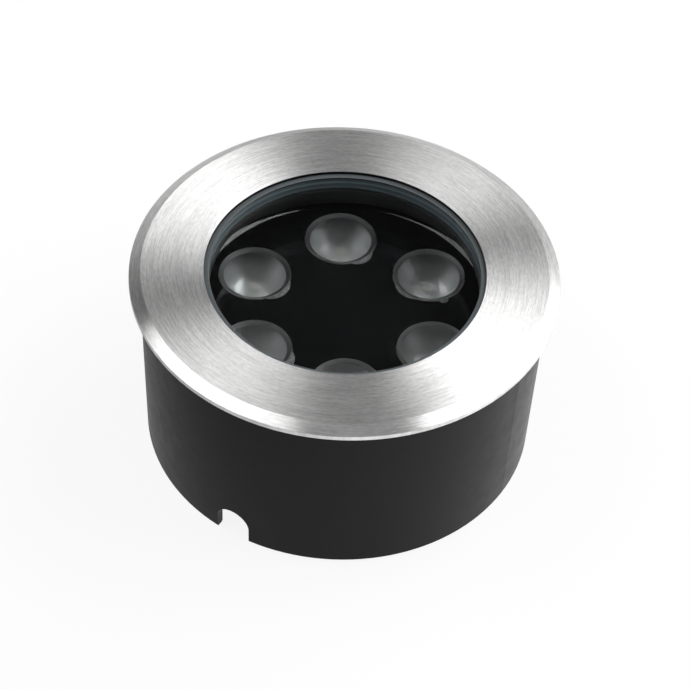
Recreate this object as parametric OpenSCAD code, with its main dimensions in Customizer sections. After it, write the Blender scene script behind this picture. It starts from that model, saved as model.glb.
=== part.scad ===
// In-ground well light: a round lamp with a brushed steel face ring, a thick
// glass and six lenses, dropped into a tapered ground sleeve, the well.
// The base of the well stands on Z = 0 round the Z axis, +Z is up, and the
// cable leaves towards -Y, through the notch in the well.

/* [Face ring] */
// Outside diameter of the face ring
face_d = 150; // [140:0.5:180]
// How far the ring stands out past the well
ring_overhang = 3.65; // [2.5:0.05:5]
// Thickness of the ring at its outer edge
ring_t = 4; // [3.6:0.1:5]
// Width of the bevel round the outer edge
bevel_w = 4; // [1:0.1:8]
// Drop of that bevel
bevel_h = 2.3; // [0.5:0.1:3]
// Thickness of the lip over the glass gasket
ring_lip_t = 1.2; // [0.6:0.1:1.8]
// Depth of the step that locates the ring on the well
ring_step = 0.6; // [0.3:0.1:1]

/* [Well] */
// How much smaller the well's radius is at its base than at its top
well_taper = 2.05; // [0.5:0.05:2.2]
// Height of the room for the cable under the lamp
cable_room_h = 20.8; // [17:0.1:40]
// Thickness of the well's wall
well_wall = 3; // [2:0.1:3.4]
// Width of the cable notch
notch_w = 12.9; // [11:0.1:18]
// Height of the cable notch, to the top of its arch
notch_h = 12.85; // [12.5:0.05:20]

/* [Glass and gasket] */
// Thickness of the glass
glass_t = 8; // [6:0.5:10]
// Width of the bevel round both faces of the glass
glass_bevel = 0.6; // [0.2:0.1:0.7]
// Gap between the opening's edge and the glass's edge, seen from above
glass_inset = 1; // [0.5:0.1:2]
// How far the gasket's two lips reach over the glass
gasket_grip = 0.8; // [0.5:0.1:2]
// Thickness of the gasket round the glass's edge
gasket_web = 3; // [2:0.1:4]
// Thickness of the gasket's upper lip
gasket_lip_t = 0.8; // [0.5:0.1:1.5]
// Thickness of the gasket's lower lip
gasket_foot_t = 1.5; // [1:0.1:2]
// Thickness of the carrier's flange under the gasket
carrier_floor_t = 2; // [1.5:0.1:3]
// Thickness of the carrier's wall round the gasket
carrier_wall_t = 3.9; // [2:0.1:6]

/* [Lamp housing] */
// Thickness of the housing's wall
housing_wall = 2.5; // [2:0.1:4]
// Thickness of the housing's floor
housing_floor_t = 3; // [2.5:0.1:4]
// Thickness of the flange that the face ring bolts to
flange_t = 6; // [5:0.1:8]
// How far the flange stands out past the barrel
flange_w = 9.55; // [9.5:0.05:14]
// Gap between the flange and the well
flange_gap = 1; // [0.8:0.05:1.2]
// Number of cooling fins that the round is divided for
fin_count = 24; // [12:12:36]
// Thickness of a cooling fin
fin_t = 2; // [1.2:0.1:2.4]
// How far the fins stand out from the barrel
fin_out = 5.6; // [3:0.1:6]
// Number of studs, nuts and washers that hold the face ring
stud_count = 6; // [6]
// Diameter of a stud
stud_d = 4; // [3:0.5:4]

/* [Optics] */
// Number of lenses
lens_count = 6; // [6]
// Gap between two lenses
lens_gap = 10.2; // [8:0.1:14]
// Gap between the lenses and the cover plate's edge
lens_edge_gap = 4.7; // [3:0.1:8]
// Height of a lens
lens_h = 11.8; // [10:0.1:13]
// Depth of the lens rims below the face
lens_depth = 24; // [22:0.1:26]
// How far the lenses stand out of the black cover plate
lens_proud = 0.3; // [0.3:0.1:1.5]
// Thickness of the black cover plate
plate_t = 2; // [1.5:0.1:3]
// Play of a lens in its hole in the cover plate
hole_play = 0.3; // [0.2:0.05:1.2]
// How far the optics are turned from the notch, in degrees
optic_turn = 3.4; // [-8:0.1:8]

/* [Light source and driver] */
// Thickness of the LED board
led_board_t = 1.6; // [1:0.1:2]
// Thickness of the thermal pad
pad_t = 0.4; // [0.2:0.1:1]
// Thickness of the heat plate
heat_plate_t = 3; // [2.5:0.1:4]
// Gap between the driver's tallest part and the heat plate
bay_clear = 0.6; // [0.3:0.1:4]

/* [Cable gland] */
// Height of the gland's axis over the base of the well
gland_z = 9; // [8.8:0.1:9.2]
// Diameter of the cable that the gland grips
cable_d = 6.5; // [5:0.1:6.6]
// Diameter of the gland's thread in the housing
gland_d = 12; // [12:0.1:12.4]
// Distance from the middle of the light to the face that the gland screws to
gland_face = 30; // [26:0.5:34]

/* [Hidden] */
$fn = 96;
cut = 1; // overrun of every cut
slip = 0.05; // radial clearance of a turning or threaded fit
drop_in = 0.2; // radial clearance of a piece that is dropped in its seat
light_touch = 0.1; // gap where a soft or loose piece meets its seat
small_edge = 0.5; // bevel on moulded and turned edges

// Heights of the stack, from the room under the lamp up to the face
standoff_h = 2.5;
driver_board_t = 1.6;
capacitor_h = 4.6; // the driver's tallest part
holder_floor_t = 0.6;
bay_h = standoff_h + driver_board_t + capacitor_h + bay_clear;
floor_base_z = cable_room_h;
floor_top_z = floor_base_z + housing_floor_t;
heat_base_z = floor_top_z + bay_h;
pad_base_z = heat_base_z + heat_plate_t;
board_base_z = pad_base_z + pad_t;
board_top_z = board_base_z + led_board_t;
lens_base_z = board_top_z + holder_floor_t;
lens_top_z = lens_base_z + lens_h;
top_z = lens_top_z + lens_depth;

// Face ring
face_r = face_d / 2;
ring_base_z = top_z - ring_t;
seat_z = ring_base_z + ring_step;

// Well
well_top_r = face_r - ring_overhang;
well_base_r = well_top_r - well_taper;
well_locate = 0.4; // gap round the well in the ring's step
recess_r = well_top_r + well_locate;
rebate_play = 0.3; // gap between the gasket and the ring's rebate
function well_in_r(z) = well_base_r + (well_top_r - well_base_r) * z / seat_z - well_wall;
notch_spring_z = notch_h - notch_w / 2;

// Glass, gasket and carrier
flange_r = well_top_r - well_wall - flange_gap;
barrel_r = flange_r - flange_w;
carrier_bore_r = barrel_r - housing_wall;
carrier_r = carrier_bore_r - drop_in;
pocket_r = carrier_r - carrier_wall_t;
gasket_r = pocket_r - drop_in;
glass_r = gasket_r - gasket_web;
opening_r = glass_r + glass_inset;
gasket_lip_r = glass_r - gasket_grip;
gasket_top_z = top_z - ring_lip_t;
glass_top_z = gasket_top_z - gasket_lip_t;
glass_base_z = glass_top_z - glass_t;
gasket_base_z = glass_base_z - gasket_foot_t;
carrier_base_z = gasket_base_z - carrier_floor_t;
carrier_ledge_w = 1.5; // width of the housing's ledge under the carrier

// Housing
chamber_r = carrier_bore_r - carrier_ledge_w;
flange_base_z = seat_z - flange_t;
stud_circle_r = (barrel_r + flange_r) / 2;
stud_r = stud_d / 2;
stud_play = 0.25; // gap between a stud and its hole
stud_hole_r = stud_r + stud_play;
stud_tail = 1.4; // length of stud under the nut
stud_start = 30; // angle of the first stud
washer_share = 2.2; // diameters as shares of the stud's
nut_across_share = 1.75;
nut_h_share = 0.8;
washer_r = washer_share * stud_r;
washer_play = 0.15; // gap between a washer and its stud
washer_t = 0.8;
nut_across = nut_across_share * stud_d;
nut_h = nut_h_share * stud_d;
stud_len = flange_t + washer_t + nut_h + stud_tail;
fin_clear = 7; // angle on both sides of a stud that has no fin
fin_root = 0.5; // how far a fin runs into the barrel

// Cover seal and grip ring
seal_wire_d = 2;
seal_land = 1.2; // land between the carrier's bore and the seal's groove
seal_groove_w = seal_wire_d + 2 * drop_in;
seal_groove_r = carrier_bore_r + seal_land;
grip_wire_d = 2.2;
grip_play = 0.25; // gap between the grip ring and the well
grip_groove_h = grip_wire_d + 2 * light_touch;
grip_z = flange_base_z + flange_t / 2;
grip_wire_r = well_in_r(grip_z) - grip_play - grip_wire_d / 2;
grip_groove_r = grip_wire_r - grip_wire_d / 2 - light_touch;

// Optics, from the lens rims down
plate_gap = 0.5; // gap between the cover plate and the chamber
plate_r = chamber_r - plate_gap;
lens_step = 360 / lens_count; // angle between two lenses
lens_half_sin = sin(lens_step / 2);
lens_reach_r = plate_r - lens_edge_gap; // radius that the lenses reach out to
lens_r = (2 * lens_reach_r * lens_half_sin - lens_gap) / (2 + 2 * lens_half_sin);
lens_circle_r = lens_reach_r - lens_r;
lens_flange_h = 2.5; // height of the lens's straight edge
lens_lip_w = 0.25; // width of the clear lip's flat top
lens_slope_w = 1.45; // width of the slope from the lip down to the frosted face
lens_dish = 1; // depth of the frosted face's edge under the lip
lens_face_r = lens_r - lens_lip_w - lens_slope_w; // radius of the frosted face
lens_crown = 0.9; // rise of the frosted face to its middle
lens_neck_r = 5; // radius of the lens at its foot
lens_body_share = 0.88; // share of the lens's radius where the flared wall ends
lens_pocket_r = 3; // radius of the hollow over the LED
lens_pocket_h = 3.2;
flare_steps = 8;
flare_power = 1.05; // shape of the flared wall: 1 is a cone, 0.5 a bowl, 2 a trumpet
holder_wall = 1;
holder_r = lens_r;
holder_top_z = lens_top_z - lens_flange_h;
plate_top_z = lens_top_z - lens_proud;
plate_base_z = plate_top_z - plate_t;
plate_rim_w = 1.3; // width of the slope up to the plate's raised rim
plate_rim_h = 0.9; // height of the raised rim
hole_r = lens_r + hole_play;
peg_r = 2;
peg_pin_r = 1.4;

// LED board, pad and heat plate
board_gap = 1; // gap between the LED board and the chamber
board_r = chamber_r - board_gap;
heat_plate_r = chamber_r - drop_in;
wire_hole_r = 3.5;
m3_r = 1.5;
m3_pilot_r = m3_r + slip;
m3_head_r = 2.75;
m3_head_h = 1.8;
m3_socket_r = 1;
m3_socket_h = 1.1;
fix_circle_r = lens_circle_r; // circle of the board's screws and pegs
fix_count = 3;
led_size = 3.45;
led_base_t = 0.6;
led_dome_r = 1.3;

// Driver bay
bay_wall = 3.3; // width of the ledge under the heat plate
bay_r = chamber_r - bay_wall;
heat_screw_count = 4;
heat_screw_start = 45; // angle of the first screw
heat_boss_r = 3.6;
heat_screw_in = 4.5; // from the bay's wall to a screw's axis
heat_screw_r = bay_r - heat_screw_in;
heat_screw_len = 9;
heat_pilot_depth = 8;
driver_w_share = 1.1; // sizes and places on the driver board, as shares of the bay's radius
driver_d_share = 0.64;
driver_y_share = 0.2;
inductor_place_share = [0.3, 0.28];
capacitor_place_share = [-0.32, 0.36];
capacitor_step_share = 0.18;
rectifier_place_share = [-0.36, 0.16];
controller_place_share = [0.06, 0.26];
input_place_share = [-0.26, -0.04];
driver_w = driver_w_share * bay_r;
driver_d = driver_d_share * bay_r;
driver_y = driver_y_share * bay_r;
standoff_across = 4.5;
standoff_floor = 0.5; // floor left under the standoff's bore
standoff_inset = 3.2;
m2_r = 1.1;
m2_head_r = 2;
m2_head_h = 1.3;
m2_len = 3.4;
driver_base_z = floor_top_z + standoff_h;
driver_top_z = driver_base_z + driver_board_t;
terminal_h = 4.2;
inductor_r = 4;
inductor_h = 4.2;
capacitor_r = 3.15;
lead_r = 0.8;
lead_x = 1.5; // half the distance between the two leads
lead_bend_r = 1.6;
lead_run = 5; // length of a lead that lies on the LED board
solder_r = 1.4;
solder_h = 0.9;

// Gland, outwards from its face on the housing
gland_r = gland_d / 2;
boss_wall = 1.6;
boss_r = gland_r + boss_wall;
boss_len = 18;
gland_thread = 8;
gland_seal_t = 1;
gland_hex_across = 15;
gland_hex_t = 4;
gland_neck = 7;
gland_neck_over = 0.1; // how much the neck's radius is over the thread's
gland_neck_r = gland_r + gland_neck_over;
cable_r = cable_d / 2;
insert_r = 4.85;
insert_pocket = 6;
insert_out = 0.7; // how far the rubber insert stands out of the gland
through_play = 0.35; // gap between the cable and the gland's bore
gland_through_r = cable_r + through_play;
claw_t = 1.6;
claw_r = gland_neck_r - slip;
cap_hole_play = 0.55; // gap between the cable and the cap's hole
cap_hole_r = cable_r + cap_hole_play;
cap_end_t = 2;
cap_across = 14;
cap_back_gap = 1.2; // gap between the cap and the gland's hexagon
wire_port_r = 3.5;
seal_face = gland_face + gland_seal_t;
neck_start = seal_face + gland_hex_t;
neck_end = neck_start + gland_neck;
insert_start = neck_end - insert_pocket;
insert_end = neck_end + insert_out;
claw_gap = 0.3; // gap between the claw and the insert, finger tight
claw_start = insert_end + claw_gap;
claw_end = claw_start + claw_t;
cap_floor = claw_end + light_touch;
cap_end = cap_floor + cap_end_t;
cap_start = neck_start + cap_back_gap;

// Copies of a piece at equal angles round the Z axis
module around(count, radius, start = 0) {
    for (i = [0 : count - 1])
        rotate([0, 0, start + i * 360 / count])
            translate([radius, 0, 0])
                children();
}

// A plain tube that stands on z
module tube(outer_r, inner_r, z, h) {
    translate([0, 0, z])
        difference() {
            cylinder(r = outer_r, h = h);
            translate([0, 0, -cut])
                cylinder(r = inner_r, h = h + 2 * cut);
        }
}

// A ring of round wire
module wire_ring(middle_r, wire_d, z) {
    translate([0, 0, z])
        rotate_extrude()
            translate([middle_r, 0])
                circle(d = wire_d);
}

// Lays a piece that is drawn along +Z on the gland's axis, from so far out
module on_gland_axis(from) {
    translate([0, -from, gland_z])
        rotate([90, 0, 0])
            children();
}

// A hexagon by its width across flats, with two flats level
module hexagon(across, h) {
    rotate([0, 0, 30])
        cylinder(d = across / cos(30), h = h, $fn = 6);
}

// The arched opening of the notch, drawn on the X and Z axes
module notch_cut() {
    translate([0, -well_base_r + 2 * well_wall, 0])
        rotate([90, 0, 0])
            linear_extrude(height = 4 * well_wall) {
                translate([-notch_w / 2, -cut])
                    square([notch_w, notch_spring_z + cut]);
                translate([0, notch_spring_z])
                    circle(d = notch_w);
            }
}

// Ground sleeve: a tapered moulded tube, open at both ends
module well_sleeve() {
    inner_top_r = well_top_r - well_wall;
    inner_base_r = well_base_r - well_wall;
    color("#2b2b2d")
        difference() {
            rotate_extrude()
                polygon([
                    [inner_base_r + small_edge, 0],
                    [well_base_r - small_edge, 0],
                    [well_base_r, small_edge],
                    [well_top_r, seat_z],
                    [inner_top_r, seat_z],
                    [inner_base_r, small_edge]
                ]);
            notch_cut();
        }
}

// Section of the cast cup, from the middle of its floor outwards
module housing_cup() {
    rotate_extrude()
        polygon([
            [0, floor_base_z],
            [barrel_r - small_edge, floor_base_z],
            [barrel_r, floor_base_z + small_edge],
            [barrel_r, flange_base_z],
            [flange_r - small_edge, flange_base_z],
            [flange_r, flange_base_z + small_edge],
            [flange_r, grip_z - grip_groove_h / 2],
            [grip_groove_r, grip_z - grip_groove_h / 2],
            [grip_groove_r, grip_z + grip_groove_h / 2],
            [flange_r, grip_z + grip_groove_h / 2],
            [flange_r, seat_z],
            [seal_groove_r + seal_groove_w, seat_z],
            [seal_groove_r + seal_groove_w, seat_z - seal_wire_d],
            [seal_groove_r, seat_z - seal_wire_d],
            [seal_groove_r, seat_z],
            [carrier_bore_r, seat_z],
            [carrier_bore_r, carrier_base_z],
            [chamber_r, carrier_base_z],
            [chamber_r, heat_base_z],
            [bay_r, heat_base_z],
            [bay_r, floor_top_z],
            [0, floor_top_z]
        ]);
}

// Cooling fins, left out where a stud's nut needs room
module cooling_fins() {
    pitch = 360 / fin_count;
    stud_pitch = 360 / stud_count;
    for (i = [0 : fin_count - 1]) {
        off = ((i * pitch - stud_start) % stud_pitch + stud_pitch) % stud_pitch;
        if (min(off, stud_pitch - off) > fin_clear)
            rotate([0, 0, i * pitch])
                translate([barrel_r - fin_root, -fin_t / 2, floor_base_z + 2 * small_edge])
                    cube([fin_out + fin_root, fin_t, flange_base_z - floor_base_z]);
    }
}

// Block under the floor that takes the cable gland
module gland_boss() {
    on_gland_axis(gland_face - boss_len)
        cylinder(r = boss_r, h = boss_len);
    web_w = 2 * (boss_r - small_edge);
    translate([-web_w / 2, -gland_face, gland_z])
        cube([web_w, boss_len, floor_base_z - gland_z + housing_floor_t / 2]);
}

// Lamp housing: a cast cup with a flange, fins and a boss for the gland
module housing() {
    color("#303033")
        difference() {
            union() {
                housing_cup();
                cooling_fins();
                around(heat_screw_count, heat_screw_r, heat_screw_start)
                    translate([0, 0, floor_base_z + housing_floor_t / 2])
                        cylinder(r = heat_boss_r, h = heat_base_z - floor_base_z - housing_floor_t / 2);
                gland_boss();
            }
            around(stud_count, stud_circle_r, stud_start)
                translate([0, 0, flange_base_z - cut])
                    cylinder(r = stud_hole_r, h = flange_t + 2 * cut);
            around(heat_screw_count, heat_screw_r, heat_screw_start)
                translate([0, 0, heat_base_z - heat_pilot_depth])
                    cylinder(r = m3_pilot_r, h = heat_pilot_depth + cut);
            on_gland_axis(gland_face - boss_len + wire_port_r)
                cylinder(r = gland_r, h = boss_len - wire_port_r + cut);
            translate([0, -gland_face + boss_len - 2 * wire_port_r, gland_z])
                cylinder(r = wire_port_r, h = floor_top_z - gland_z + cut);
        }
}

// Face ring: a turned steel plate, bevelled outside and rebated for the gasket
module face_ring() {
    rebate_r = gasket_r + rebate_play;
    color("#c9c8c6")
        rotate_extrude()
            polygon([
                [opening_r, top_z],
                [face_r - bevel_w, top_z],
                [face_r, top_z - bevel_h],
                [face_r, ring_base_z],
                [recess_r, ring_base_z],
                [recess_r, seat_z],
                [rebate_r, seat_z],
                [rebate_r, gasket_top_z],
                [opening_r, gasket_top_z]
            ]);
}

// Studs welded under the face ring
module face_studs() {
    color("#b4b4b4")
        around(stud_count, stud_circle_r, stud_start)
            translate([0, 0, seat_z - stud_len])
                union() {
                    cylinder(r1 = stud_r - small_edge, r2 = stud_r, h = small_edge);
                    translate([0, 0, small_edge])
                        cylinder(r = stud_r, h = stud_len - small_edge);
                }
}

// Washers under the flange
module stud_washers() {
    color("#bcbcbc")
        around(stud_count, stud_circle_r, stud_start)
            tube(washer_r, stud_r + washer_play, flange_base_z - washer_t, washer_t);
}

// Hexagon nuts on the studs
module stud_nuts() {
    nut_top_z = flange_base_z - washer_t;
    color("#a8a8a8")
        around(stud_count, stud_circle_r, stud_start)
            translate([0, 0, nut_top_z - nut_h])
                difference() {
                    hexagon(nut_across, nut_h);
                    translate([0, 0, -cut])
                        cylinder(r = stud_r + slip, h = nut_h + 2 * cut);
                }
}

// Toughened glass with ground bevels
module glass() {
    color("#bcd0d0", 0.35)
        rotate_extrude()
            polygon([
                [0, glass_base_z],
                [glass_r - glass_bevel, glass_base_z],
                [glass_r, glass_base_z + glass_bevel],
                [glass_r, glass_top_z - glass_bevel],
                [glass_r - glass_bevel, glass_top_z],
                [0, glass_top_z]
            ]);
}

// Channel gasket round the edge of the glass
module glass_gasket() {
    color("#1c1c1c")
        rotate_extrude()
            polygon([
                [gasket_lip_r, gasket_base_z],
                [gasket_r, gasket_base_z],
                [gasket_r, gasket_top_z],
                [gasket_lip_r, gasket_top_z],
                [gasket_lip_r, glass_top_z],
                [glass_r, glass_top_z],
                [glass_r, glass_base_z],
                [gasket_lip_r, glass_base_z]
            ]);
}

// Carrier ring that holds the glass and its gasket in the housing
module glass_carrier() {
    color("#232323")
        rotate_extrude()
            polygon([
                [gasket_lip_r, carrier_base_z],
                [carrier_r, carrier_base_z],
                [carrier_r, seat_z],
                [pocket_r, seat_z],
                [pocket_r, gasket_base_z],
                [gasket_lip_r, gasket_base_z]
            ]);
}

// Round seal between the face ring and the housing
module cover_seal() {
    color("#181818")
        wire_ring(seal_groove_r + seal_groove_w / 2, seal_wire_d, seat_z - seal_wire_d / 2);
}

// Round rubber ring that steadies the lamp in the well
module grip_ring() {
    color("#181818")
        wire_ring(grip_wire_r, grip_wire_d, grip_z);
}

// Glossy cover plate with a raised rim, holes for the lenses and three pegs
module cover_plate() {
    color("#0c0c0c")
        rotate([0, 0, optic_turn]) {
            difference() {
                rotate_extrude()
                    polygon([
                        [0, plate_base_z],
                        [plate_r, plate_base_z],
                        [plate_r, plate_top_z + plate_rim_h],
                        [plate_r - plate_rim_w, plate_top_z],
                        [0, plate_top_z]
                    ]);
                around(lens_count, lens_circle_r)
                    translate([0, 0, plate_base_z - cut])
                        cylinder(r = hole_r, h = plate_t + 2 * cut);
            }
            around(fix_count, fix_circle_r, lens_step * 3 / 2) {
                translate([0, 0, board_top_z])
                    cylinder(r = peg_r, h = plate_base_z + plate_t / 2 - board_top_z);
                translate([0, 0, board_base_z])
                    cylinder(r = peg_pin_r, h = plate_base_z - board_base_z);
            }
        }
}

// Flared wall of a lens from its foot up: the radius grows with a power of the height
function flare(from_z, to_z, from_r, to_r, steps) = [
    for (i = [0 : steps])
        let (share = i / steps)
            [from_r + (to_r - from_r) * pow(share, flare_power), from_z + (to_z - from_z) * share]
];

// Frosted face of a lens as an arc, from its edge to the middle
function crown(edge_r, edge_z, rise, steps) = [
    for (i = [0 : steps])
        let (share = i / steps)
            [edge_r * (1 - share), edge_z + rise * (1 - pow(1 - share, 2))]
];

// Places a piece over lens position i
module at_lens(i) {
    rotate([0, 0, optic_turn + (i - 1) * lens_step])
        translate([lens_circle_r, 0, 0])
            children();
}

// One lens: a clear flared collimator with a frosted face in a sloped, raised lip
module lens(i) {
    flare_top_z = lens_top_z - lens_flange_h;
    color("#8d9296")
        at_lens(i)
            difference() {
                rotate_extrude()
                    polygon(concat(
                        [[0, lens_base_z]],
                        flare(lens_base_z, flare_top_z, lens_neck_r, lens_r * lens_body_share, flare_steps),
                        [
                            [lens_r, flare_top_z],
                            [lens_r, lens_top_z],
                            [lens_r - lens_lip_w, lens_top_z]
                        ],
                        crown(lens_face_r, lens_top_z - lens_dish, lens_crown, flare_steps)
                    ));
                translate([0, 0, lens_base_z - cut])
                    cylinder(r = lens_pocket_r, h = lens_pocket_h + cut);
            }
}

// One lens holder: a cup with an open foot that the lens stands in
module lens_holder(i) {
    holder_in_r = holder_r - holder_wall;
    holder_hole_r = lens_neck_r - holder_wall;
    color("#d8d8d6")
        at_lens(i)
            rotate_extrude()
                polygon([
                    [holder_hole_r, board_top_z],
                    [holder_r, board_top_z],
                    [holder_r, holder_top_z],
                    [holder_in_r, holder_top_z],
                    [holder_in_r, lens_base_z],
                    [holder_hole_r, lens_base_z]
                ]);
}

// One LED: a square ceramic base with a clear dome
module led(i) {
    color("#e8d48a")
        at_lens(i)
            translate([0, 0, board_top_z]) {
                translate([-led_size / 2, -led_size / 2, 0])
                    cube([led_size, led_size, led_base_t]);
                translate([0, 0, led_base_t])
                    difference() {
                        sphere(r = led_dome_r);
                        translate([-led_size, -led_size, -led_size - led_base_t / 2])
                            cube([2 * led_size, 2 * led_size, led_size]);
                    }
            }
}

// Holes that the LED board, the pad and the heat plate share
module stack_holes(z, h) {
    translate([0, 0, z - cut]) {
        cylinder(r = wire_hole_r, h = h + 2 * cut);
        rotate([0, 0, optic_turn])
            around(fix_count, fix_circle_r, lens_step / 2)
                cylinder(r = m3_pilot_r, h = h + 2 * cut);
    }
}

// Round aluminium-cored LED board
module led_board() {
    color("#e9e9e4")
        difference() {
            translate([0, 0, board_base_z])
                cylinder(r = board_r, h = led_board_t);
            stack_holes(board_base_z, led_board_t);
            rotate([0, 0, optic_turn])
                around(fix_count, fix_circle_r, lens_step * 3 / 2)
                    translate([0, 0, board_base_z - cut])
                        cylinder(r = peg_pin_r + slip, h = led_board_t + 2 * cut);
        }
}

// Thermal pad between the LED board and the heat plate
module thermal_pad() {
    color("#8fa3b5")
        difference() {
            translate([0, 0, pad_base_z])
                cylinder(r = board_r - board_gap, h = pad_t);
            stack_holes(pad_base_z, pad_t);
        }
}

// Heat plate on the housing's ledge, with countersunk screw holes
module heat_plate() {
    color("#b9bcbf")
        difference() {
            translate([0, 0, heat_base_z])
                cylinder(r = heat_plate_r, h = heat_plate_t);
            stack_holes(heat_base_z, heat_plate_t);
            around(heat_screw_count, heat_screw_r, heat_screw_start) {
                translate([0, 0, heat_base_z - cut])
                    cylinder(r = m3_pilot_r, h = heat_plate_t + 2 * cut);
                translate([0, 0, pad_base_z - m3_head_h])
                    cylinder(r1 = m3_pilot_r, r2 = m3_head_r + slip, h = m3_head_h);
            }
        }
}

// Countersunk screws of the heat plate
module heat_plate_screws() {
    color("#a0a0a0")
        around(heat_screw_count, heat_screw_r, heat_screw_start)
            difference() {
                union() {
                    translate([0, 0, pad_base_z - heat_screw_len])
                        cylinder(r = m3_r, h = heat_screw_len);
                    translate([0, 0, pad_base_z - m3_head_h])
                        cylinder(r1 = m3_r, r2 = m3_head_r, h = m3_head_h);
                }
                translate([0, 0, pad_base_z - m3_socket_h])
                    cylinder(r = m3_socket_r, h = m3_socket_h + cut, $fn = 6);
            }
}

// Pan-head screws of the LED board
module led_board_screws() {
    shank = led_board_t + pad_t + heat_plate_t;
    color("#a0a0a0")
        rotate([0, 0, optic_turn])
            around(fix_count, fix_circle_r, lens_step / 2)
                difference() {
                    union() {
                        translate([0, 0, board_top_z - shank])
                            cylinder(r = m3_r, h = shank);
                        translate([0, 0, board_top_z])
                            cylinder(r = m3_head_r, h = m3_head_h);
                    }
                    translate([0, 0, board_top_z + m3_head_h - m3_socket_h])
                        cylinder(r = m3_socket_r, h = m3_socket_h + cut, $fn = 6);
                }
}

// The four corners of the driver board's fixings
module at_driver_corners() {
    for (sx = [-1, 1], sy = [-1, 1])
        translate([
            sx * (driver_w / 2 - standoff_inset),
            driver_y + sy * (driver_d / 2 - standoff_inset),
            0
        ])
            children();
}

// Places a part on the driver board
module on_driver(place_share) {
    translate([place_share[0] * bay_r, place_share[1] * bay_r, driver_top_z])
        children();
}

// Driver board
module driver_board() {
    color("#2f6b45")
        difference() {
            translate([-driver_w / 2, driver_y - driver_d / 2, driver_base_z])
                cube([driver_w, driver_d, driver_board_t]);
            at_driver_corners()
                translate([0, 0, driver_base_z - cut])
                    cylinder(r = m2_r + slip, h = driver_board_t + 2 * cut);
        }
}

// Hexagon standoffs under the driver board
module driver_standoffs() {
    color("#c9a54a")
        at_driver_corners()
            translate([0, 0, floor_top_z])
                difference() {
                    hexagon(standoff_across, standoff_h);
                    translate([0, 0, standoff_floor])
                        cylinder(r = m2_r + slip, h = standoff_h);
                }
}

// Small screws of the driver board
module driver_screws() {
    color("#a0a0a0")
        at_driver_corners()
            difference() {
                union() {
                    translate([0, 0, driver_top_z - m2_len])
                        cylinder(r = m2_r, h = m2_len);
                    translate([0, 0, driver_top_z])
                        cylinder(r = m2_head_r, h = m2_head_h);
                }
                translate([0, 0, driver_top_z + m2_head_h / 2])
                    cylinder(r = m2_r / 2, h = m2_head_h, $fn = 6);
            }
}

// Choke of the driver: a drum core on a square base
module driver_inductor() {
    base_t = 0.8;
    color("#3a3a3c")
        on_driver(inductor_place_share) {
            translate([-inductor_r, -inductor_r, 0])
                cube([2 * inductor_r, 2 * inductor_r, base_t]);
            translate([0, 0, base_t])
                cylinder(r = inductor_r - small_edge, h = inductor_h - base_t);
        }
}

// Two electrolytic capacitors of the driver
module driver_capacitors() {
    color("#7d8790")
        for (i = [0, 1])
            on_driver(capacitor_place_share + [i * capacitor_step_share, 0]) {
                translate([-capacitor_r, -capacitor_r, 0])
                    cube([2 * capacitor_r, 2 * capacitor_r, small_edge]);
                translate([0, 0, small_edge])
                    cylinder(r = capacitor_r, h = capacitor_h - small_edge);
            }
}

// A moulded chip that stands on rows of bent legs
module chip(w, d, h, legs) {
    leg_w = 0.5;
    leg_out = 0.9;
    leg_h = h / 2;
    pitch = w / legs;
    translate([-w / 2, -d / 2, 0])
        cube([w, d, h]);
    for (i = [0 : legs - 1], s = [-1, 1])
        translate([
            -w / 2 + (i + 0.5) * pitch - leg_w / 2,
            s * (d / 2 + leg_out / 2) - leg_out / 2 - s * small_edge / 2,
            0
        ])
            cube([leg_w, leg_out, leg_h]);
}

// Bridge rectifier of the driver
module driver_rectifier() {
    rectifier_w = 8;
    rectifier_d = 6;
    rectifier_h = 2.4;
    leg_pairs = 2;
    color("#1e1e1e")
        on_driver(rectifier_place_share)
            chip(rectifier_w, rectifier_d, rectifier_h, leg_pairs);
}

// Controller chip of the driver
module driver_controller() {
    chip_w = 5;
    chip_d = 4;
    chip_h = 1.6;
    leg_pairs = 4;
    color("#1e1e1e")
        on_driver(controller_place_share)
            chip(chip_w, chip_d, chip_h, leg_pairs);
}

// Terminal for the two cores of the supply cable, open towards the wire port
module input_terminal() {
    terminal_w = 9;
    terminal_d = 7;
    entry_r = 1.1;
    entry_depth = 4.5;
    entry_pitch = 4.2;
    color("#e4e2da")
        on_driver(input_place_share)
            difference() {
                translate([-terminal_w / 2, -terminal_d / 2, 0])
                    cube([terminal_w, terminal_d, terminal_h]);
                for (s = [-1, 1])
                    translate([s * entry_pitch / 2, -terminal_d / 2 + entry_depth, terminal_h / 2])
                        rotate([90, 0, 0])
                            cylinder(r = entry_r, h = entry_depth + cut);
            }
}

// Terminal that the two leads to the LED board start from
module output_terminal() {
    output_w = 7;
    output_d = 5;
    color("#e4e2da")
        translate([-output_w / 2, -output_d / 2, driver_top_z])
            cube([output_w, output_d, terminal_h]);
}

// One lead: up through the stack, a bend, and a run to its solder joint
module lead(side) {
    start_z = driver_top_z + terminal_h;
    run_z = board_top_z + lead_r + light_touch;
    rise = run_z - lead_bend_r - start_z;
    mirror([side < 0 ? 1 : 0, 0, 0]) {
        translate([lead_x, 0, start_z])
            cylinder(r = lead_r, h = rise);
        translate([lead_x + lead_bend_r, 0, start_z + rise])
            rotate([90, 0, 0])
                rotate([0, 0, 90])
                    rotate_extrude(angle = 90)
                        translate([lead_bend_r, 0])
                            circle(r = lead_r);
        translate([lead_x + lead_bend_r, 0, run_z])
            rotate([0, 90, 0])
                cylinder(r = lead_r, h = lead_run);
        translate([lead_x + lead_bend_r + lead_run, 0, board_top_z])
            cylinder(r1 = solder_r, r2 = lead_r, h = solder_h + lead_r);
    }
}

// Positive lead
module lead_positive() {
    color("#b3261e")
        lead(1);
}

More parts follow.
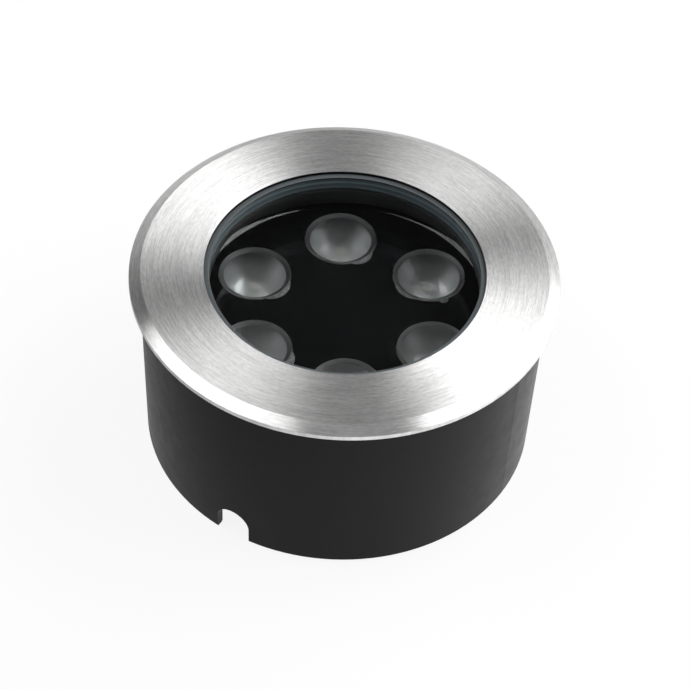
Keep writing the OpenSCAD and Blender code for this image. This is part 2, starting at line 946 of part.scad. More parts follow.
// Negative lead
module lead_negative() {
    color("#1a1a1a")
        lead(-1);
}

// Gland body: threaded shank, hexagon and the neck that the cap screws on
module gland_body() {
    color("#b9b7b0")
        difference() {
            union() {
                on_gland_axis(gland_face - gland_thread)
                    cylinder(r = gland_r - slip, h = gland_thread + gland_seal_t + gland_hex_t / 2);
                on_gland_axis(seal_face)
                    hexagon(gland_hex_across, gland_hex_t);
                on_gland_axis(neck_start - gland_hex_t / 2)
                    cylinder(r = gland_neck_r, h = gland_neck + gland_hex_t / 2);
            }
            on_gland_axis(gland_face - gland_thread - cut)
                cylinder(r = gland_through_r, h = neck_end - gland_face + gland_thread + 2 * cut);
            on_gland_axis(insert_start)
                cylinder(r = insert_r + slip, h = insert_pocket + cut);
        }
}

// Flat seal between the gland and the housing
module gland_seal() {
    color("#171717")
        on_gland_axis(gland_face)
            tube(boss_r - small_edge, gland_r, 0, gland_seal_t);
}

// Rubber insert that closes on the cable
module gland_insert() {
    color("#202020")
        on_gland_axis(insert_start)
            tube(insert_r, cable_r, 0, insert_end - insert_start);
}

// Loose ring between the cap and the insert
module gland_claw() {
    color("#3b3b3b")
        on_gland_axis(claw_start)
            tube(claw_r, gland_through_r, 0, claw_t);
}

// Cap that screws on the gland and presses the claw in
module gland_cap() {
    cap_len = cap_end - cap_start;
    color("#c2c0b9")
        difference() {
            union() {
                on_gland_axis(cap_start)
                    hexagon(cap_across, cap_len - small_edge);
                on_gland_axis(cap_start)
                    cylinder(r = cap_across / 2 - small_edge, h = cap_len);
            }
            on_gland_axis(cap_start - cut)
                cylinder(r = gland_neck_r + slip, h = cap_floor - cap_start + cut);
            on_gland_axis(cap_start)
                cylinder(r = cap_hole_r, h = cap_len + cut);
        }
}

well_sleeve();
housing();
face_ring();
face_studs();
stud_washers();
stud_nuts();
glass();
glass_gasket();
glass_carrier();
cover_seal();
grip_ring();
cover_plate();
for (i = [1 : lens_count]) {
    lens(i);
    lens_holder(i);
    led(i);
}
led_board();
led_board_screws();
thermal_pad();
heat_plate();
heat_plate_screws();
driver_board();
driver_standoffs();
driver_screws();
driver_inductor();
driver_capacitors();
driver_rectifier();
driver_controller();
input_terminal();
output_terminal();
lead_positive();
lead_negative();
gland_body();
gland_seal();
gland_insert();
gland_claw();
gland_cap();
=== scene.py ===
import math

import bmesh
import bpy
from mathutils import Matrix, Vector


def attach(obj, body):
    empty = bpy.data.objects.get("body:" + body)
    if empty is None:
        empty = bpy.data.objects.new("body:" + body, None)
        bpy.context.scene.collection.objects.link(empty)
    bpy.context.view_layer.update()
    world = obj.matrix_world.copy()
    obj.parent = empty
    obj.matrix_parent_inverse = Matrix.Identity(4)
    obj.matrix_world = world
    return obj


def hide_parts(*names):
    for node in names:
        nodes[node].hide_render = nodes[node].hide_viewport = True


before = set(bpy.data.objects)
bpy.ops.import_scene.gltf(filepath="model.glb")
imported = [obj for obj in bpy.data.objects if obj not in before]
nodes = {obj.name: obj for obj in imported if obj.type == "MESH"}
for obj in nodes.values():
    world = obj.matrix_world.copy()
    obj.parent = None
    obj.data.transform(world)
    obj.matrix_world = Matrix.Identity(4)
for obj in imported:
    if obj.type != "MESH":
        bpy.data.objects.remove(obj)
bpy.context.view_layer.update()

# The object's own lengths are in mm, and those of the camera and studio in metres.
MM = 0.001

# Camera. It looks down on the glass from the side of the cable notch, with a
# long lens, and is rolled a little, as the photograph was taken.
camera_data = bpy.data.cameras.new("camera")
camera_data.sensor_width = 36
camera_data.lens = 146.52
camera_data.clip_start = 0.05
camera = bpy.data.objects.new("camera", camera_data)
camera_distance = 1.001303
azimuth, elevation, roll = (math.radians(angle) for angle in (29.7, 47.059, 3.195))
towards = Vector((
    math.sin(azimuth) * math.cos(elevation),
    -math.cos(azimuth) * math.cos(elevation),
    math.sin(elevation),
))
sideways = Vector((math.cos(azimuth), math.sin(azimuth), 0))
away = Vector((-math.sin(azimuth), math.cos(azimuth), 0))
upwards = towards.cross(sideways)
camera_right = math.cos(roll) * sideways + math.sin(roll) * upwards
camera_up = math.cos(roll) * upwards - math.sin(roll) * sideways
aim = Vector((1.171, 0.668, 36.118)) * MM
camera.matrix_world = Matrix.Translation(aim + camera_distance * towards) @ Matrix(
    (camera_right, camera_up, towards)
).transposed().to_4x4()
bpy.context.scene.collection.objects.link(camera)
bpy.context.scene.camera = camera
bpy.context.scene.view_settings.view_transform = "Standard"


# Node maths. A Signal is one socket of a node tree: sums and products of it add
# Math nodes, its add method makes a node of any kind, and the others are shorthand.
class Signal:
    def __init__(self, tree, socket=None):
        self.tree = tree
        self.socket = socket

    def add(self, kind, settings, sockets, output=0):
        """Adds a node, sets it and its inputs, and gives the output named."""
        node = self.tree.nodes.new("ShaderNode" + kind)
        for name, value in settings.items():
            setattr(node, name, value)
        for key, value in sockets.items():
            if isinstance(value, Signal):
                self.tree.links.new(value.socket, node.inputs[key])
            else:
                node.inputs[key].default_value = value
        return Signal(self.tree, node.outputs[output] if node.outputs else None)

    def maths(self, operation, first, second=0.0):
        return self.add("Math", {"operation": operation}, {0: first, 1: second})

    def __add__(self, other):
        return self.maths("ADD", self, other)

    def __sub__(self, other):
        return self.maths("SUBTRACT", self, other)

    def __rsub__(self, other):
        return self.maths("SUBTRACT", other, self)

    def __mul__(self, other):
        return self.maths("MULTIPLY", self, other)

    def step(self, start, end):
        """0 below start and 1 above end, with a smooth change between them."""
        ends = {"From Min": start, "From Max": end, "Value": self}
        return self.add("MapRange", {"interpolation_type": "SMOOTHSTEP"}, ends)

    def band(self, low, high, edge):
        """1 between low and high and 0 outside them, with edges of a width inside."""
        return self.step(low, low + edge) - self.step(high - edge, high)

    def blend(self, low, high):
        """The colour low where this is 0 and the colour high where it is 1."""
        return self.add("Mix", {"data_type": "RGBA"}, {0: self, 6: low, 7: high}, 2)

    def noise(self, scale, detail):
        """Noise at this place, with so many cells to a metre."""
        return self.add("TexNoise", {}, {"Vector": self, "Scale": scale, "Detail": detail})

    def bump(self, depth, strength=0.6):
        """The normal of a relief with this height and a depth in mm."""
        sockets = {"Height": self, "Distance": depth * MM, "Strength": strength}
        return self.add("Bump", {}, sockets)

    __radd__ = __add__


def empty_material(name):
    """A material with no nodes, and a Signal to add its nodes from."""
    material = bpy.data.materials.new(name)
    material.use_nodes = True
    material.node_tree.nodes.clear()
    return material, Signal(material.node_tree)


# Floor. A wide white sweep that the light stands on. It shows white to the
# camera, duller on the left to metal, gloss and glass, and keeps a soft shadow.
floor_size = 12
floor_z = -0.2 * MM
bpy.ops.mesh.primitive_plane_add(size=floor_size, location=(0, 0, floor_z))
floor = bpy.context.object
floor.name = "floor"
floor_paper, start = empty_material("floor_paper")
white = (1, 1, 1, 1)
dull_white = (0.35, 0.35, 0.35, 1)
dull_x, bright_x = -0.16, 0.06
glow_share = 0.88
rays = {}
for ray in ("Is Camera Ray", "Is Glossy Ray", "Is Transmission Ray"):
    rays[ray] = start.add("LightPath", {}, {}, ray)
seen = start.maths("MAXIMUM", rays["Is Camera Ray"], rays["Is Glossy Ray"])
seen = start.maths("MAXIMUM", seen, rays["Is Transmission Ray"])
paper = start.add("BsdfDiffuse", {}, {"Color": (0.87, 0.87, 0.87, 1)})
place = start.add("TexCoord", {}, {}, "Object")
across = start.add("VectorMath", {"operation": "DOT_PRODUCT"}, {0: place, 1: sideways}, "Value")
lit = across.step(dull_x, bright_x).blend(dull_white, white)
lit = rays["Is Camera Ray"].blend(lit, white)
glow = start.add("Emission", {}, {"Color": lit, "Strength": 1.0})
sheet = start.add("MixShader", {}, {0: seen * glow_share, 1: paper, 2: glow})
start.add("OutputMaterial", {}, {"Surface": sheet})
floor.data.materials.append(floor_paper)

# Studio. A dim room, darker behind, over a white backdrop that rises a little
# above the floor, and two wide soft boxes overhead with a dark gap between them.
world = bpy.data.worlds.new("studio")
world.use_nodes = True
world.node_tree.nodes.clear()
bpy.context.scene.world = world
start = Signal(world.node_tree)
direction = start.add("TexCoord", {}, {}, "Generated")
height = start.add("SeparateXYZ", {}, {0: direction}, "Z")
behind = start.add("VectorMath", {"operation": "DOT_PRODUCT"}, {0: direction, 1: away}, "Value")
front_wall = (0.29, 0.29, 0.29, 1)
back_wall = (0.015, 0.015, 0.015, 1)
room = behind.step(0.15, 0.45).blend(front_wall, back_wall)
room = height.step(0.1, 0.3).blend(white, room)
is_camera = start.add("LightPath", {}, {}, "Is Camera Ray")
room = is_camera.blend(room, white)
start.add("OutputWorld", {}, {0: start.add("Background", {}, {0: room, 1: 1.0})})

box_height = 1.0
for side, near, far, front, back, radiance in (
    (1, 0.38, 1.53, -0.31, 1.27, 4.8),
    (-1, 0.2, 1.3, -0.47, 0.52, 2.2),
):
    lamp_data = bpy.data.lights.new("soft_box", "AREA")
    lamp_data.shape = "RECTANGLE"
    lamp_data.size = far - near
    lamp_data.size_y = back - front
    lamp_data.energy = radiance * math.pi * lamp_data.size * lamp_data.size_y
    lamp = bpy.data.objects.new("soft_box", lamp_data)
    middle = Vector((side * (near + far) / 2, (front + back) / 2, box_height))
    turn = Matrix.Rotation(azimuth, 4, "Z")
    lamp.matrix_world = turn @ Matrix.Translation(middle)
    lamp.visible_camera = False
    bpy.context.scene.collection.objects.link(lamp)


# Face ring: a steel plate turned flat, bevelled round its edge, with a thin
# lip over the gasket, and brushed round the axis with abrasive cloth.
merge_gap = 1e-7


def turned(outline, steps=288):
    """Spins an outline of (radius, height, rounding) in mm round the Z axis."""
    shape = bmesh.new()
    corners = [shape.verts.new((r * MM, 0, z * MM)) for r, z, _ in outline]
    face = shape.faces.new(corners)
    for size in sorted({rounding for _, _, rounding in outline} - {0}):
        picked = [v for v, (_, _, rounding) in zip(corners, outline) if rounding == size]
        bmesh.ops.bevel(
            shape, geom=picked, offset=size * MM, offset_type="OFFSET", affect="VERTICES",
            segments=4, profile=0.5, material=-1,
        )
    bmesh.ops.delete(shape, geom=list(shape.faces), context="FACES_ONLY")
    on_axis = [e for e in shape.edges if max(v.co.x for v in e.verts) < merge_gap]
    bmesh.ops.delete(shape, geom=on_axis, context="EDGES")
    bmesh.ops.spin(
        shape, geom=list(shape.verts) + list(shape.edges), cent=(0, 0, 0), axis=(0, 0, 1),
        angle=2 * math.pi, steps=steps, use_merge=True,
    )
    return shape


def piece(name, shape, material, body, slot, *replaced, sharp=35):
    """Makes a shape an object of the lamp that stands for the CAD nodes named."""
    bmesh.ops.remove_doubles(shape, verts=shape.verts, dist=merge_gap)
    bmesh.ops.recalc_face_normals(shape, faces=shape.faces)
    for face in shape.faces:
        face.smooth = True
    mesh = bpy.data.meshes.new(name)
    shape.to_mesh(mesh)
    shape.free()
    mesh.set_sharp_from_angle(angle=math.radians(sharp))
    mesh.materials.append(material)
    made = bpy.data.objects.new(name, mesh)
    bpy.context.scene.collection.objects.link(made)
    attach(made, body)
    if replaced:
        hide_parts(*replaced)
    return made


def round_place(start):
    """The Object place, the radius in mm and the direction from the axis."""
    place = start.add("TexCoord", {}, {}, "Object")
    flat = start.add("VectorMath", {"operation": "MULTIPLY"}, {0: place, 1: (1, 1, 0)})
    radius = start.add("VectorMath", {"operation": "LENGTH"}, {0: flat}, "Value")
    way = start.add("VectorMath", {"operation": "NORMALIZE"}, {0: flat})
    return place, radius * (1 / MM), way


def brushed(start, radius, way, pitch, turns):
    """Noise in long streaks round the axis, pitch mm apart."""
    parts = {0: way, "Scale": turns}
    round_way = start.add("VectorMath", {"operation": "SCALE"}, parts)
    across = start.add("CombineXYZ", {}, {"Z": radius * (1 / pitch)})
    spot = start.add("VectorMath", {"operation": "ADD"}, {0: round_way, 1: across})
    return spot.noise(1.0, 3.0)


opening_r = 49
ring_r = 75
ring_top_z = 74.5
bevel_r = 71
lip_foot_z = 73.3
rebate_r = 51.3
underside_z = 71.1
skirt_in_r = 71.75
skirt_z = 70.5
ring_steel, start = empty_material("brushed_ring_steel")
_, radius, way = round_place(start)
fine = brushed(start, radius, way, 0.36, 30.0)
long = brushed(start, radius, way, 0.42, 5.0)
broad = brushed(start, radius, way, 1.8, 2.5)
streaks = fine * 0.4 + long * 0.45 + broad * 0.15
# The steel of the opening's inner wall is painted near black, as painted shade.
shaded_inner_wall = 1 - radius.step(opening_r, opening_r + 0.2)
bevel = radius.step(bevel_r - 0.1, bevel_r + 0.1)
tone = streaks.step(0.36, 0.64).blend((0.7, 0.7, 0.696, 1), (0.97, 0.968, 0.962, 1))
tone = shaded_inner_wall.blend(tone, (0.01, 0.01, 0.01, 1))
metal = start.add("BsdfPrincipled", {}, {
    "Base Color": tone,
    "Metallic": 1.0,
    "Roughness": 0.47 + streaks * 0.08 - bevel * 0.19,
    "Anisotropic": 0.957,
    "Anisotropic Rotation": 0.25,
    "Normal": fine.bump(0.03, 0.5),
})
start.add("OutputMaterial", {}, {"Surface": metal})
ring_shape = turned([
    (opening_r, lip_foot_z, 0.1), (opening_r, ring_top_z, 0.15), (49.5, ring_top_z, 0),
    (70.5, ring_top_z, 0), (bevel_r, ring_top_z, 0.12), (71.5, 74.2125, 0), (74.6, 72.43, 0),
    (ring_r, 72.2, 0.12), (ring_r, 71.8, 0), (ring_r, 70.9, 0), (ring_r, skirt_z, 0.15),
    (74.6, skirt_z, 0), (72, skirt_z, 0), (skirt_in_r, skirt_z, 0.1),
    (skirt_in_r, underside_z, 0), (rebate_r, underside_z, 0), (rebate_r, lip_foot_z, 0),
])
piece("face_ring_brushed", ring_shape, ring_steel, "lamp", "ring_steel", "face_ring")


# Finish shared by moulded, cast and painted pieces: a fine grain that moves the
# colour, the roughness and the relief a little, over broader clouds.
clouds_to_grain = 12


def grained(name, low, high, grain, roughness, relief, metallic=0.0, **constants):
    """Colours low and high, a grain in mm, a pair of roughnesses, a relief in mm."""
    material, start = empty_material(name)
    place = start.add("TexCoord", {}, {}, "Object")
    fine = place.noise(1000 / grain, 2.0)
    broad = place.noise(1000 / (clouds_to_grain * grain), 2.0)
    mixed = (fine * 0.5 + broad * 0.5).step(0.35, 0.65)
    sockets = {
        "Base Color": mixed.blend((*low, 1), (*high, 1)),
        "Metallic": metallic,
        "Roughness": mixed * (roughness[1] - roughness[0]) + roughness[0],
        "Normal": fine.bump(relief),
    }
    sockets.update({key.replace("_", " "): value for key, value in constants.items()})
    shader = start.add("BsdfPrincipled", {}, sockets)
    start.add("OutputMaterial", {}, {"Surface": shader})
    return material


def dress(material, *names):
    """Gives CAD nodes that keep their own mesh a material."""
    for name in names:
        mesh = nodes[name].data
        mesh.materials.clear()
        mesh.materials.append(material)
        for polygon in mesh.polygons:
            polygon.material_index = 0


# Well: the ground sleeve, a tapered moulding in matte black plastic.
well_plastic = grained(
    "matte_well_plastic", (0.0015, 0.0015, 0.0016), (0.0035, 0.0035, 0.0037),
    0.4, (0.3, 0.38), 0.01, Specular_IOR_Level=0.14,
)
dress(well_plastic, "well_sleeve")


# Gasket: a channel of black silicone pressed round the edge of the glass. Only its upper
# lip is out in the open: its top is painted grey as painted light, the rest near black as painted
# shade.
def level_of(place):
    """The height of a place in mm."""
    return place.add("SeparateXYZ", {}, {0: place}, "Z") * (1 / MM)


gasket_in_r = 47.2
gasket_out_r = 51
gasket_foot_z = 63
seat_r = 48
seat_low_z = 64.5
seat_top_z = 72.5
rubber = grained("silicone_rubber", (0.03, 0.03, 0.031), (0.06, 0.06, 0.062), 0.5, (0.4, 0.5), 0.01)
lit_and_shaded_gasket, start = empty_material("lit_and_shaded_silicone")
place = start.add("TexCoord", {}, {}, "Object")
level = level_of(place)
cloud = place.noise(1800.0, 3.0)
# Painted shade: near black below the lip's top. Painted light: grey on the lip's top.
shaded = (0.008, 0.008, 0.008, 1)
painted_lit_lip = cloud.step(0.3, 0.7).blend((0.063, 0.073, 0.077, 1), (0.095, 0.109, 0.115, 1))
silicone = start.add("BsdfPrincipled", {}, {
    "Base Color": level.step(lip_foot_z - 0.25, lip_foot_z - 0.05).blend(shaded, painted_lit_lip),
    "Roughness": cloud * 0.12 + 0.3,
    "Normal": cloud.bump(0.01),
})
start.add("OutputMaterial", {}, {"Surface": silicone})
gasket_shape = turned([
    (gasket_in_r, gasket_foot_z, 0.2), (gasket_out_r, gasket_foot_z, 0.1),
    (gasket_out_r, lip_foot_z, 0), (seat_r, lip_foot_z, 0), (gasket_in_r, lip_foot_z, 0.25),
    (gasket_in_r, seat_top_z, 0.1), (seat_r, seat_top_z, 0), (seat_r, seat_low_z, 0),
    (gasket_in_r, seat_low_z, 0.1),
])
piece("glass_gasket_moulded", gasket_shape, lit_and_shaded_gasket, "lamp", "seal_rubber", "glass_gasket")


# Glass: a toughened disc, 8 mm thick, with ground bevels and a ground edge.
def see_through(start, clear, shadow):
    """Ends a material in a clear shader whose shadow is only tinted."""
    shade = start.add("BsdfTransparent", {}, {"Color": shadow})
    is_shadow = start.add("LightPath", {}, {}, "Is Shadow Ray")
    both = start.add("MixShader", {}, {0: is_shadow, 1: clear, 2: shade})
    start.add("OutputMaterial", {}, {"Surface": both})


glass_r = 47.97
glass_low_z = 64.52
glass_top_z = 72.48
glass_bevel = 0.6
cover_glass, start = empty_material("clear_cover_glass")
clear = start.add("BsdfPrincipled", {}, {
    "Base Color": (0.97, 0.985, 0.98, 1),
    "Roughness": 0.0,
    "IOR": 1.5,
    "Transmission Weight": 1.0,
})
see_through(start, clear, (0.85, 0.87, 0.865, 1))
ground_edge, start = empty_material("ground_glass_edge")
place = start.add("TexCoord", {}, {}, "Object")
level = level_of(place)
grit = place.noise(3000.0, 2.0)
ground = grit.step(0.35, 0.65).blend((0.028, 0.043, 0.052, 1), (0.045, 0.066, 0.078, 1))
stripe = level.band(67.2, 69.6, 0.8)
ground_skin = start.add("BsdfPrincipled", {}, {
    "Base Color": stripe.blend(ground, (0.1, 0.14, 0.155, 1)),
    "Roughness": grit * 0.15 + 0.45,
    "Normal": grit.bump(0.01),
})
start.add("OutputMaterial", {}, {"Surface": ground_skin})
glass_shape = turned([
    (0, glass_low_z, 0), (glass_r - glass_bevel, glass_low_z, 0),
    (glass_r, glass_low_z + glass_bevel, 0), (glass_r, glass_top_z - glass_bevel, 0),
    (glass_r - glass_bevel, glass_top_z, 0), (0, glass_top_z, 0),
])
glass = piece(
    "cover_glass_disc", glass_shape, cover_glass, "lamp", "cover_glass", "glass", sharp=20
)
glass.data.materials.append(ground_edge)
for polygon in glass.data.polygons:
    across = math.hypot(*polygon.center[:2]) / MM
    if across > glass_r - glass_bevel and abs(polygon.normal.z) < 0.9:
        polygon.material_index = 1

# Cover plate: glossy black plastic with a rim that rises to the chamber's wall.
gloss = grained(
    "gloss_black_plastic", (0.0035, 0.0035, 0.0037), (0.005, 0.005, 0.0053), 3, (0.04, 0.06), 0.0002
)
dress(gloss, "cover_plate")

# Lenses: clear acrylic collimators with a flared wall that mirrors the light
# from inside, a frosted face at the bottom of a sloped lip, and a hollow foot.
frosted, start = empty_material("frosted_lens")
place = start.add("TexCoord", {}, {}, "Object")
face = start.add("Attribute", {"attribute_name": "frosted"}, {}, "Fac")
lip = start.add("Attribute", {"attribute_name": "lip"}, {}, "Fac")
grain = place.noise(2500.0, 2.0)
clear = start.add("BsdfPrincipled", {}, {
    # The lip is tinted dark grey: painted shade that dims the light it lets through.
    "Base Color": lip.blend((0.904, 0.919, 0.934, 1), (0.192, 0.193, 0.195, 1)),
    "Transmission Weight": 1.0,
    "IOR": 1.49,
    "Roughness": face * (0.17 + grain * 0.06) + lip * 0.31 + 0.24,
    "Normal": grain.bump(0.01, 0.4),
})
see_through(start, clear, (0.6, 0.6, 0.6, 1))
lens_count = 6
lens_circle = 35.8
lens_r = 12.8
lens_base_z = 38.7
lens_flange_z = 48
lens_top_z = 50.5
first_lens_angle = 3.4
lens_sides = 96
pocket_r = 3
pocket_top_z = 41.9
flare_foot_r = 4.34
flare_end_r = 11.264
flare_curve = 1.106
flare_steps = 8
lip_w = 0.25
slope_foot_w = 0.05
slope_foot_h = 0.035
lip_zone_r = 12
dome_r = 11.1
dome_rise = 0.98
dome_foot_z = 49.5
dome_steps = 8
nearly = 0.01


def lens_middle(number):
    """Where the axis of a lens, counted from 0, meets the plane at height 0."""
    angle = math.radians(first_lens_angle + 360 / lens_count * number)
    return Vector((math.cos(angle), math.sin(angle), 0)) * lens_circle * MM


for number in range(lens_count):
    outline = [
        (0, pocket_top_z, 0), (pocket_r, pocket_top_z, 0), (pocket_r, lens_base_z, 0),
        (flare_foot_r, lens_base_z, 0),
    ]
    for i in range(1, flare_steps + 1):
        share = i / flare_steps
        flare_r = flare_foot_r + (flare_end_r - flare_foot_r) * share ** flare_curve
        outline.append((flare_r, lens_base_z + (lens_flange_z - lens_base_z) * share, 0))
    outline += [
        (lens_r, lens_flange_z, 0), (lens_r, lens_top_z, 0.12), (lens_r - lip_w, lens_top_z, 0.1),
        (dome_r + slope_foot_w, dome_foot_z + slope_foot_h, 0), (dome_r, dome_foot_z, 0),
    ]
    for i in range(1, dome_steps + 1):
        share = 1 - i / dome_steps
        outline.append((dome_r * share, dome_foot_z + dome_rise * (1 - share ** 2), 0))
    lens = turned(outline, lens_sides)
    frost = lens.verts.layers.float.new("frosted")
    lip_zone = lens.verts.layers.float.new("lip")
    for vertex in lens.verts:
        across = math.hypot(vertex.co.x, vertex.co.y) / MM
        on_top = vertex.co.z / MM > dome_foot_z - nearly
        past_dome = across > dome_r + nearly
        vertex[frost] = float(on_top and not past_dome)
        vertex[lip_zone] = float(across > lip_zone_r or (on_top and past_dome))
    bmesh.ops.translate(lens, verts=lens.verts, vec=lens_middle(number))
    name = "lens_%d" % (number + 1)
    piece(name + "_frosted", lens, frosted, "lamp", "lens_frosted", name)

# Sealant: beads of clear silicone, run out over the plate where the lenses were
# fixed, half-moon in outline and rounded along their edges.
sealant, start = empty_material("clear_sealant")
place = start.add("TexCoord", {}, {}, "Object")
cloud = place.noise(900.0, 3.0)
bead = start.add("BsdfPrincipled", {}, {
    "Base Color": cloud.step(0.35, 0.65).blend((0.065, 0.065, 0.065, 1), (0.11, 0.11, 0.112, 1)),
    "Roughness": cloud * 0.1 + 0.22,
    "Normal": cloud.bump(0.04, 0.5),
})
start.add("OutputMaterial", {}, {"Surface": bead})
bead_steps = 24
bead_foot_z = 50.22
bead_h = 0.25
bead_gap = 0.02
bead_round = 0.1
for name, beside, middle, spread, reach in (
    ("sealant_1", 1, -100.3, 28, 1.3), ("sealant_2", 1, -35.3, 8, 1.9),
    ("sealant_3", 2, -20, 24, 2), ("sealant_4", 3, -12.3, 31, 2), ("sealant_5", 4, 0, 26, 2.5),
):
    shape = bmesh.new()
    inner = lens_r + bead_gap
    outer = inner + reach
    half = math.radians(spread)
    off = (outer ** 2 - inner ** 2) / (2 * (outer - inner * math.cos(half)))
    bow = outer - off
    tip = math.atan2(inner * math.sin(half), inner * math.cos(half) - off)
    rim = []
    for i in range(bead_steps + 1):
        turn = tip * (2 * i / bead_steps - 1)
        rim.append((off + bow * math.cos(turn), bow * math.sin(turn)))
    for i in range(1, bead_steps):
        turn = half * (1 - 2 * i / bead_steps)
        rim.append((inner * math.cos(turn), inner * math.sin(turn)))
    corners = [shape.verts.new((x * MM, y * MM, bead_foot_z * MM)) for x, y in rim]
    foot = shape.faces.new(corners)
    raised = bmesh.ops.extrude_face_region(shape, geom=[foot])["geom"]
    top = [v for v in raised if isinstance(v, bmesh.types.BMVert)]
    bmesh.ops.translate(shape, verts=top, vec=(0, 0, bead_h * MM))
    top_edges = [e for e in raised if isinstance(e, bmesh.types.BMEdge)]
    bmesh.ops.bevel(
        shape, geom=top_edges, offset=bead_round * MM, offset_type="OFFSET", affect="EDGES",
        segments=3, profile=0.5, material=-1,
    )
    set_down = Matrix.Translation(lens_middle(beside))
    spin = Matrix.Rotation(math.radians(middle), 4, "Z")
    bmesh.ops.transform(shape, matrix=set_down @ spin, verts=shape.verts)
    piece(name, shape, sealant, "lamp", "lens_frosted")

# Lens holders: black cups that stand the lenses over the LEDs.
holder_plastic = grained(
    "black_holder_plastic", (0.045, 0.045, 0.045), (0.06, 0.06, 0.06), 0.8, (0.4, 0.55), 0.01
)
dress(holder_plastic, *["lens_holder_%d" % (i + 1) for i in range(lens_count)])

# LEDs: yellow phosphor under a small clear dome, on a ceramic base.
ceramic_z = 38.65
led_package, start = empty_material("led_phosphor")
place = start.add("TexCoord", {}, {}, "Object")
level = level_of(place)
phosphor = place.noise(6000.0, 2.0)
dome_tone = phosphor.step(0.35, 0.65).blend((0.62, 0.52, 0.2, 1), (0.7, 0.6, 0.28, 1))
led_skin = start.add("BsdfPrincipled", {}, {
    "Base Color": level.step(ceramic_z, ceramic_z + 0.07).blend((0.7, 0.7, 0.68, 1), dome_tone),
    "Roughness": phosphor * 0.1 + 0.15,
    "Coat Weight": 0.5,
})
start.add("OutputMaterial", {}, {"Surface": led_skin})
dress(led_package, *["led_%d" % (i + 1) for i in range(lens_count)])

# LED board: aluminium-cored, white solder mask over two round copper tracks.
mask_z = 38
board_white, start = empty_material("white_solder_mask")
place, radius, _ = round_place(start)
level = level_of(place)
inner_track = radius.band(25.6, 27.4, 0.2)
outer_track = radius.band(44.2, 46.2, 0.2)
mask_grain = place.noise(900.0, 3.0)
mask_tone = mask_grain.step(0.35, 0.65).blend((0.65, 0.65, 0.63, 1), (0.7, 0.7, 0.68, 1))
board_tone = (inner_track + outer_track).blend(mask_tone, (0.66, 0.64, 0.58, 1))
core = 1 - level.step(mask_z - 0.05, mask_z)
ridges = inner_track + outer_track + mask_grain * 0.1
board_skin = start.add("BsdfPrincipled", {}, {
    "Base Color": core.blend(board_tone, (0.6, 0.61, 0.62, 1)),
    "Metallic": core,
    "Roughness": mask_grain * 0.15 + 0.3,
    "Normal": ridges.bump(0.04),
})
start.add("OutputMaterial", {}, {"Surface": board_skin})
dress(board_white, "led_board")

# Heat plate and thermal pad: a turned aluminium disc under a soft silicone pad.
turned_aluminium, start = empty_material("turned_aluminium")
_, radius, way = round_place(start)
turning = brushed(start, radius, way, 0.25, 2.0)
plate_skin = start.add("BsdfPrincipled", {}, {
    "Base Color": turning.step(0.3, 0.7).blend((0.55, 0.56, 0.57, 1), (0.72, 0.73, 0.74, 1)),
    "Metallic": 1.0,
    "Roughness": turning * 0.15 + 0.25,
    "Anisotropic": 0.6,
    "Anisotropic Rotation": 0.25,
    "Normal": turning.bump(0.02),
})
start.add("OutputMaterial", {}, {"Surface": plate_skin})
dress(turned_aluminium, "heat_plate")
pad_silicone = grained(
    "pad_silicone", (0.26, 0.32, 0.38), (0.33, 0.39, 0.45), 0.6, (0.5, 0.65), 0.02
)
dress(pad_silicone, "thermal_pad")

# Screws, studs, washers and nuts: bright zinc on steel.
zinc = grained("bright_zinc", (0.5, 0.5, 0.5), (0.64, 0.64, 0.62), 0.7, (0.22, 0.36), 0.01, 1.0)
dress(
    zinc, "face_studs", "stud_washers", "stud_nuts", "heat_plate_screws", "led_board_screws",
    "driver_screws",
)

# Driver board: green solder mask on glass cloth, with copper tracks under it.
board_green, start = empty_material("green_solder_mask")
place = start.add("TexCoord", {}, {}, "Object")
cloth = start.add("TexWave", {"wave_type": "BANDS", "bands_direction": "DIAGONAL"}, {
    "Vector": place, "Scale": 900.0, "Distortion": 2.0, "Detail": 2.0,
}, "Fac")
cells = start.add("TexVoronoi", {"distance": "MANHATTAN", "feature": "F1"}, {
    "Vector": place, "Scale": 180.0,
}, "Distance")
track = cells.band(0.3, 0.54, 0.04)
green = cloth.blend((0.02, 0.12, 0.05, 1), (0.03, 0.15, 0.065, 1))
green_skin = start.add("BsdfPrincipled", {}, {
    "Base Color": track.blend(green, (0.05, 0.22, 0.09, 1)),
    "Roughness": cloth * 0.1 + 0.25,
    "Normal": track.bump(0.03, 0.7),
})
start.add("OutputMaterial", {}, {"Surface": green_skin})
dress(board_green, "driver_board")
brass = grained("bright_brass", (0.62, 0.43, 0.16), (0.76, 0.55, 0.24), 0.5, (0.2, 0.32), 0.01, 1.0)
dress(brass, "driver_standoffs")

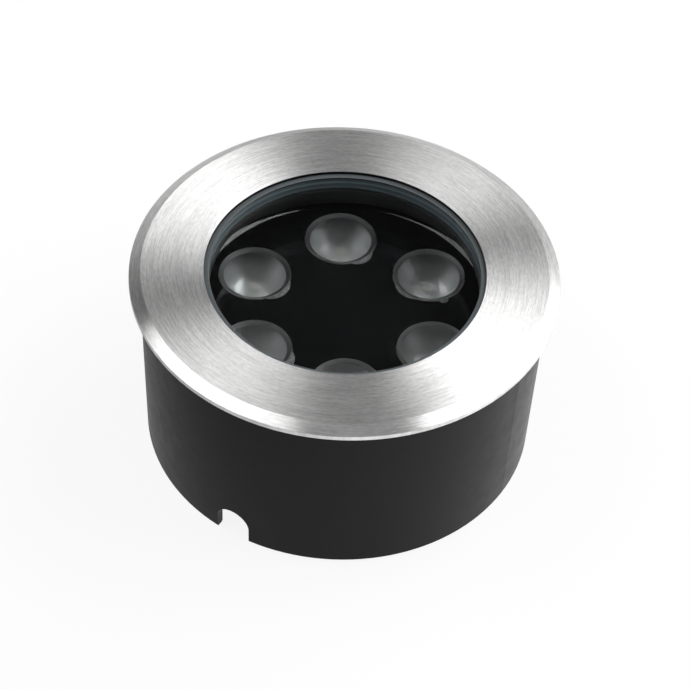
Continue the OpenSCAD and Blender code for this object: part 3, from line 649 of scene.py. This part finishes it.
# Parts on the driver board: a ferrite choke, two cans, two chips and terminals.
ferrite = grained("ferrite", (0.04, 0.04, 0.042), (0.07, 0.07, 0.072), 0.3, (0.45, 0.6), 0.02)
dress(ferrite, "driver_inductor")
can_metal = grained(
    "capacitor_can", (0.48, 0.5, 0.52), (0.6, 0.61, 0.63), 0.6, (0.25, 0.4), 0.005, 1.0
)
dress(can_metal, "driver_capacitors")
chip_moulding = grained(
    "chip_moulding", (0.014, 0.014, 0.014), (0.026, 0.026, 0.026), 0.2, (0.4, 0.55), 0.01
)
dress(chip_moulding, "driver_rectifier", "driver_controller", "gland_claw")
nylon = grained("terminal_nylon", (0.66, 0.64, 0.58), (0.76, 0.74, 0.68), 0.5, (0.3, 0.42), 0.01)
dress(nylon, "input_terminal", "output_terminal")


# Leads: insulated wires from the driver up to their solder joints.
solder_x = 6.6 * MM


def insulated(name, low, high):
    """Soft insulation that ends in bright solder on the LED board."""
    material, start = empty_material(name)
    place = start.add("TexCoord", {}, {}, "Object")
    across = start.add("SeparateXYZ", {}, {0: place}, "X")
    solder = start.maths("ABSOLUTE", across).step(solder_x, solder_x + 0.1 * MM)
    scuff = place.noise(1200.0, 3.0)
    skin = start.add("BsdfPrincipled", {}, {
        "Base Color": solder.blend(scuff.blend((*low, 1), (*high, 1)), (0.6, 0.6, 0.61, 1)),
        "Metallic": solder,
        "Roughness": scuff * 0.2 + 0.25,
    })
    start.add("OutputMaterial", {}, {"Surface": skin})
    return material


dress(insulated("red_insulation", (0.38, 0.015, 0.01), (0.52, 0.03, 0.02)), "lead_positive")
dress(insulated("black_insulation", (0.01, 0.01, 0.01), (0.022, 0.022, 0.022)), "lead_negative")

# Housing and carrier: a black powder-coated casting and a moulded ring.
paint = grained(
    "black_powder_coat", (0.02, 0.02, 0.021), (0.035, 0.035, 0.037), 0.9, (0.35, 0.5), 0.03
)
dress(paint, "housing")
carrier_plastic = grained(
    "carrier_plastic", (0.004, 0.0036, 0.0032), (0.008, 0.0072, 0.0066), 0.6, (0.4, 0.5), 0.01
)
dress(carrier_plastic, "glass_carrier")

# Cable gland: nickel-plated brass with rubber seals, facing the notch.
nickel = grained(
    "nickel_plate", (0.56, 0.54, 0.49), (0.68, 0.66, 0.6), 0.6, (0.16, 0.28), 0.005, 1.0
)
dress(nickel, "gland_body", "gland_cap")
dress(rubber, "cover_seal", "grip_ring", "gland_seal", "gland_insert")
